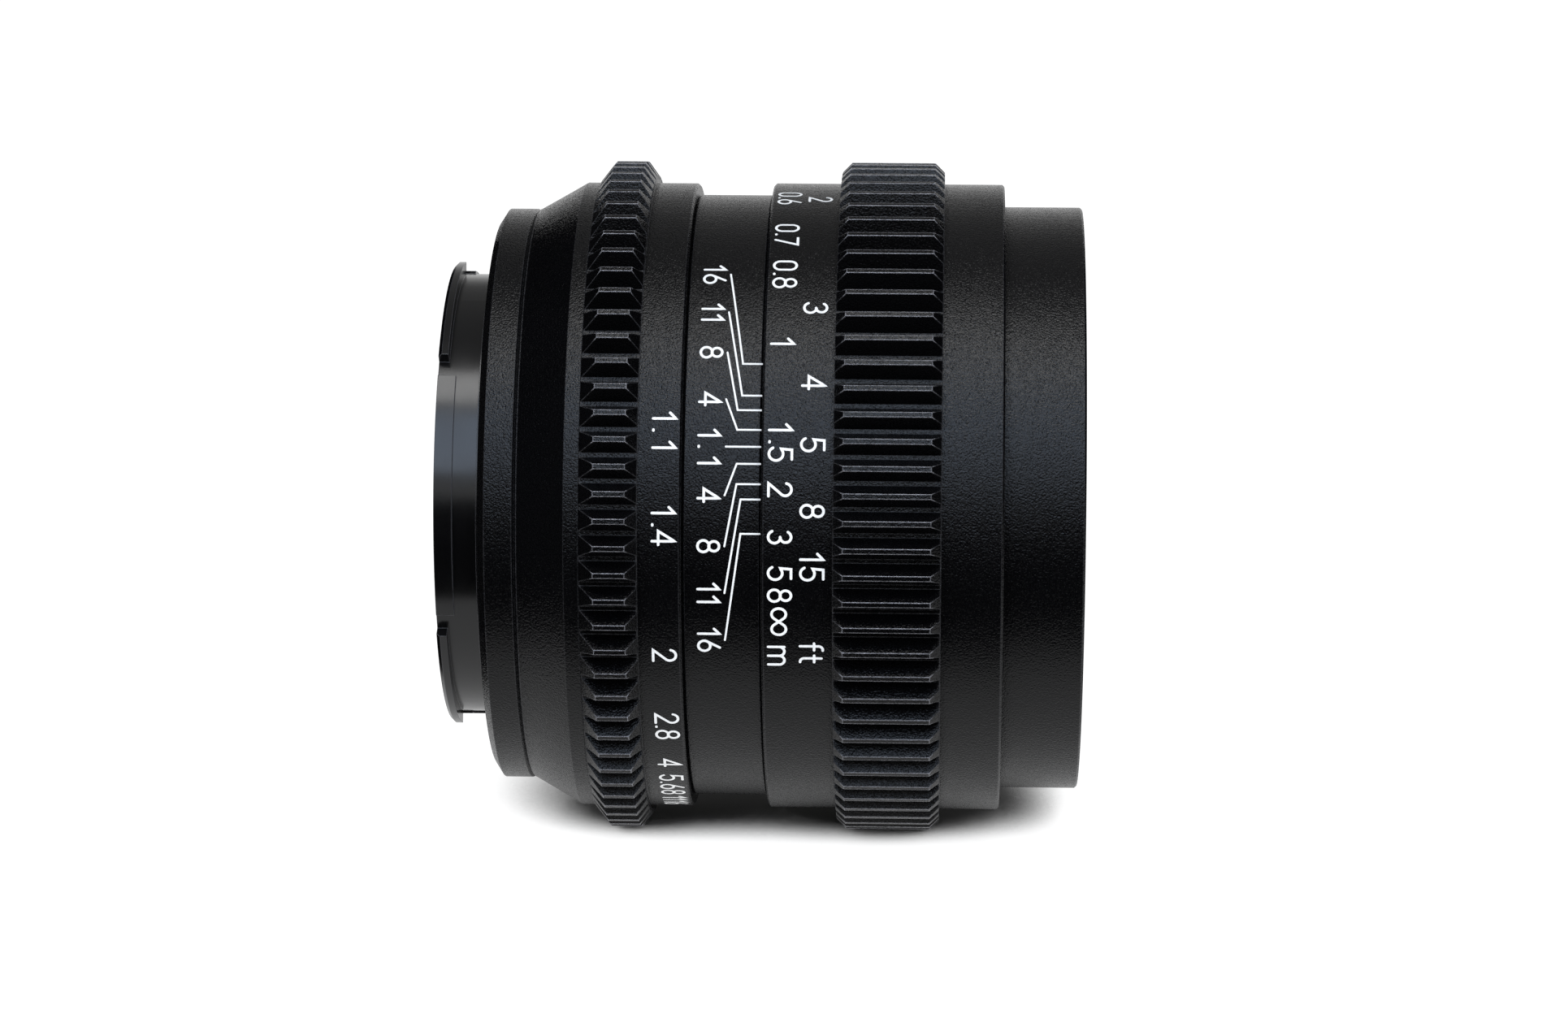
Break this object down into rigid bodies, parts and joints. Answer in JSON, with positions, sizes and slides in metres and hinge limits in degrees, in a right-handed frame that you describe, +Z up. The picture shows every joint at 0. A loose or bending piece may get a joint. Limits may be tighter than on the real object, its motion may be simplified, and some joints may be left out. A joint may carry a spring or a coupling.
{
  "type": "prime lens",
  "caption": "Fast manual prime lens with toothed focus and aperture rings, a three-claw rear bayonet, a helical focus drive and an adjustable iris.",
  "frame": {"origin": "centre of the rear face of the mount flange, on the optical axis", "axes": "+X along the optical axis towards the front glass, +Z up, with the index mark on the -Y side"},
  "size_m": [0.0622, 0.0664, 0.0664],
  "materials": {
    "anodised_black": "satin black anodised",
    "mount_metal": "semi-gloss black hard-anodised",
    "matt_black": "matt black anodised",
    "screw_steel": "blackened steel",
    "brass": "machined brass",
    "coated_glass": "polished, coated",
    "blade_steel": "matt black coated spring steel"
  },
  "bodies": {
    "housing": {"bayonet_mount": "mount_metal", "mount_screws": "screw_steel", "mount_collar": "anodised_black", "rear_barrel": "anodised_black", "rear_baffle": "matt_black", "scale_ring": "anodised_black", "scale_ring_screws": "screw_steel", "guide_tube": "matt_black", "focus_retaining_ring": "matt_black"},
    "focus_assembly": {"focus_ring": "anodised_black", "focus_grub_screws": "screw_steel", "cam_sleeve": "matt_black"},
    "optics": {"front_barrel": "anodised_black", "lens_tube": "matt_black", "roller_screws": "screw_steel", "guide_rollers": "brass", "front_cell": "matt_black", "front_retaining_ring": "matt_black", "front_spacer": "matt_black", "front_element": "coated_glass", "second_element": "coated_glass", "third_element": "coated_glass", "fourth_element": "coated_glass", "fifth_element": "coated_glass", "sixth_element": "coated_glass", "iris_base_ring": "matt_black", "rear_cell": "matt_black", "rear_retaining_ring": "matt_black"},
    "aperture_assembly": {"aperture_ring": "anodised_black", "aperture_key": "brass", "aperture_key_screw": "screw_steel"},
    "iris_cam": {"iris_cam_ring": "matt_black"},
    "blade_01": {"iris_blade_01": "blade_steel"},
    "blade_02": {"iris_blade_02": "blade_steel"},
    "blade_03": {"iris_blade_03": "blade_steel"},
    "blade_04": {"iris_blade_04": "blade_steel"},
    "blade_05": {"iris_blade_05": "blade_steel"},
    "blade_06": {"iris_blade_06": "blade_steel"},
    "blade_07": {"iris_blade_07": "blade_steel"},
    "blade_08": {"iris_blade_08": "blade_steel"},
    "blade_09": {"iris_blade_09": "blade_steel"},
    "blade_10": {"iris_blade_10": "blade_steel"}
  },
  "joints": [
    {"name": "focus_turn", "type": "hinge", "parent": "housing", "child": "focus_assembly", "pos_m": [0.0388, 0, 0], "axis": [1, 0, 0], "range_deg": [-31.5, 83.5]},
    {"name": "optics_slide", "type": "slide", "parent": "housing", "child": "optics", "axis": [1, 0, 0], "range_m": [-0.00175, 0.00462]},
    {"name": "aperture_turn", "type": "hinge", "parent": "housing", "child": "aperture_assembly", "pos_m": [0.0151, 0, 0], "axis": [1, 0, 0], "range_deg": [-88, 0]},
    {"name": "iris_cam_turn", "type": "hinge", "parent": "optics", "child": "iris_cam", "pos_m": [0.0207, 0, 0], "axis": [1, 0, 0], "range_deg": [-88.2, 0.2]},
    {"name": "blade_01_turn", "type": "hinge", "parent": "optics", "child": "blade_01", "pos_m": [0.025, 0, 0.0186], "axis": [1, 0, 0], "range_deg": [-44.1, 0.1]},
    {"name": "blade_02_turn", "type": "hinge", "parent": "optics", "child": "blade_02", "pos_m": [0.025, -0.01093, 0.01505], "axis": [1, 0, 0], "range_deg": [-44.1, 0.1]},
    {"name": "blade_03_turn", "type": "hinge", "parent": "optics", "child": "blade_03", "pos_m": [0.025, -0.01769, 0.00575], "axis": [1, 0, 0], "range_deg": [-44.1, 0.1]},
    {"name": "blade_04_turn", "type": "hinge", "parent": "optics", "child": "blade_04", "pos_m": [0.025, -0.01769, -0.00575], "axis": [1, 0, 0], "range_deg": [-44.1, 0.1]},
    {"name": "blade_05_turn", "type": "hinge", "parent": "optics", "child": "blade_05", "pos_m": [0.025, -0.01093, -0.01505], "axis": [1, 0, 0], "range_deg": [-44.1, 0.1]},
    {"name": "blade_06_turn", "type": "hinge", "parent": "optics", "child": "blade_06", "pos_m": [0.025, 0, -0.0186], "axis": [1, 0, 0], "range_deg": [-44.1, 0.1]},
    {"name": "blade_07_turn", "type": "hinge", "parent": "optics", "child": "blade_07", "pos_m": [0.025, 0.01093, -0.01505], "axis": [1, 0, 0], "range_deg": [-44.1, 0.1]},
    {"name": "blade_08_turn", "type": "hinge", "parent": "optics", "child": "blade_08", "pos_m": [0.025, 0.01769, -0.00575], "axis": [1, 0, 0], "range_deg": [-44.1, 0.1]},
    {"name": "blade_09_turn", "type": "hinge", "parent": "optics", "child": "blade_09", "pos_m": [0.025, 0.01769, 0.00575], "axis": [1, 0, 0], "range_deg": [-44.1, 0.1]},
    {"name": "blade_10_turn", "type": "hinge", "parent": "optics", "child": "blade_10", "pos_m": [0.025, 0.01093, 0.01505], "axis": [1, 0, 0], "range_deg": [-44.1, 0.1]}
  ],
  "couplings": [
    {"joint": "optics_slide", "follows": "focus_turn", "m_per_rad": 0.0031672},
    {"joint": "iris_cam_turn", "follows": "aperture_turn", "ratio": 1},
    {"joint": "blade_01_turn", "follows": "aperture_turn", "ratio": 0.5},
    {"joint": "blade_02_turn", "follows": "aperture_turn", "ratio": 0.5},
    {"joint": "blade_03_turn", "follows": "aperture_turn", "ratio": 0.5},
    {"joint": "blade_04_turn", "follows": "aperture_turn", "ratio": 0.5},
    {"joint": "blade_05_turn", "follows": "aperture_turn", "ratio": 0.5},
    {"joint": "blade_06_turn", "follows": "aperture_turn", "ratio": 0.5},
    {"joint": "blade_07_turn", "follows": "aperture_turn", "ratio": 0.5},
    {"joint": "blade_08_turn", "follows": "aperture_turn", "ratio": 0.5},
    {"joint": "blade_09_turn", "follows": "aperture_turn", "ratio": 0.5},
    {"joint": "blade_10_turn", "follows": "aperture_turn", "ratio": 0.5}
  ]
}
